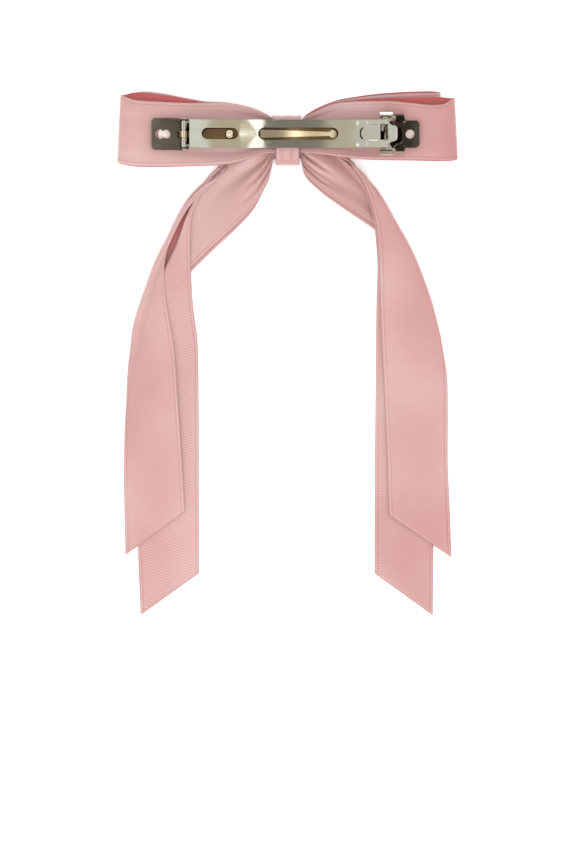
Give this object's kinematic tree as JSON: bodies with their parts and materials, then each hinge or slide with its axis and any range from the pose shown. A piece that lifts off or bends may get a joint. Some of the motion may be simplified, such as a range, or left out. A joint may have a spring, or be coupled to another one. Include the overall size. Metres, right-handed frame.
{
  "type": "ribbon bow hair barrette",
  "caption": "Spring hair barrette with hinged lever, tension bow and squeeze latch, carrying a long-tailed satin ribbon bow.",
  "frame": {"origin": "on the flat front face of the bow's knot, in line with the clip's middle; the object lies on this face", "axes": "+X along the clip towards its latch, +Y to the top of the bow, tails along -Y, +Z to the wearer's hair"},
  "size_m": [0.102, 0.1583, 0.0154],
  "materials": {
    "plated_base": "bright nickel plate",
    "plated_pin": "bright nickel plate",
    "plated_lever": "bright nickel plate",
    "plated_tongue": "bright nickel plate, stamped",
    "plated_spring": "bright warm plate",
    "plated_jaws": "bright nickel plate",
    "satin_back_loops": "satin weave, soft sheen",
    "satin_front_loops": "satin weave, soft sheen",
    "satin_outer_tails": "satin weave, soft sheen",
    "satin_inner_tails": "satin weave, soft sheen",
    "satin_wrap": "satin weave, soft sheen",
    "thread": "twisted thread",
    "glue": "cloudy clear"
  },
  "bodies": {
    "clip_base": {"base_plate": "plated_base", "hinge_pin": "plated_pin", "back_loops": "satin_back_loops", "front_loops": "satin_front_loops", "outer_tails": "satin_outer_tails", "inner_tails": "satin_inner_tails", "centre_wrap": "satin_wrap", "binding_thread": "thread", "glue_pads": "glue"},
    "lever": {"lever": "plated_lever", "latch_tongue": "plated_tongue"},
    "tension_bow": {"tension_bow": "plated_spring"},
    "upper_jaw": {"upper_jaw": "plated_jaws"},
    "lower_jaw": {"lower_jaw": "plated_jaws"}
  },
  "joints": [
    {"name": "lever_hinge", "type": "hinge", "parent": "clip_base", "child": "lever", "pos_m": [-0.0309, 0, 0.01181], "axis": [0, -1, 0], "range_deg": [0, 100]},
    {"name": "tension_bow_hinge", "type": "hinge", "parent": "clip_base", "child": "tension_bow", "pos_m": [-0.0309, 0, 0.01181], "axis": [0, -1, 0], "range_deg": [0, 12]},
    {"name": "upper_jaw_squeeze", "type": "hinge", "parent": "clip_base", "child": "upper_jaw", "pos_m": [0.0319, 0.0049, 0.01178], "axis": [0, 0, 1], "range_deg": [0, 5], "stiffness_Nm_per_rad": 0.05},
    {"name": "lower_jaw_squeeze", "type": "hinge", "parent": "clip_base", "child": "lower_jaw", "pos_m": [0.0319, -0.0049, 0.01178], "axis": [0, 0, -1], "range_deg": [0, 5], "stiffness_Nm_per_rad": 0.05}
  ],
  "couplings": [
    {"joint": "tension_bow_hinge", "follows": "lever_hinge", "ratio": 0.12}
  ]
}
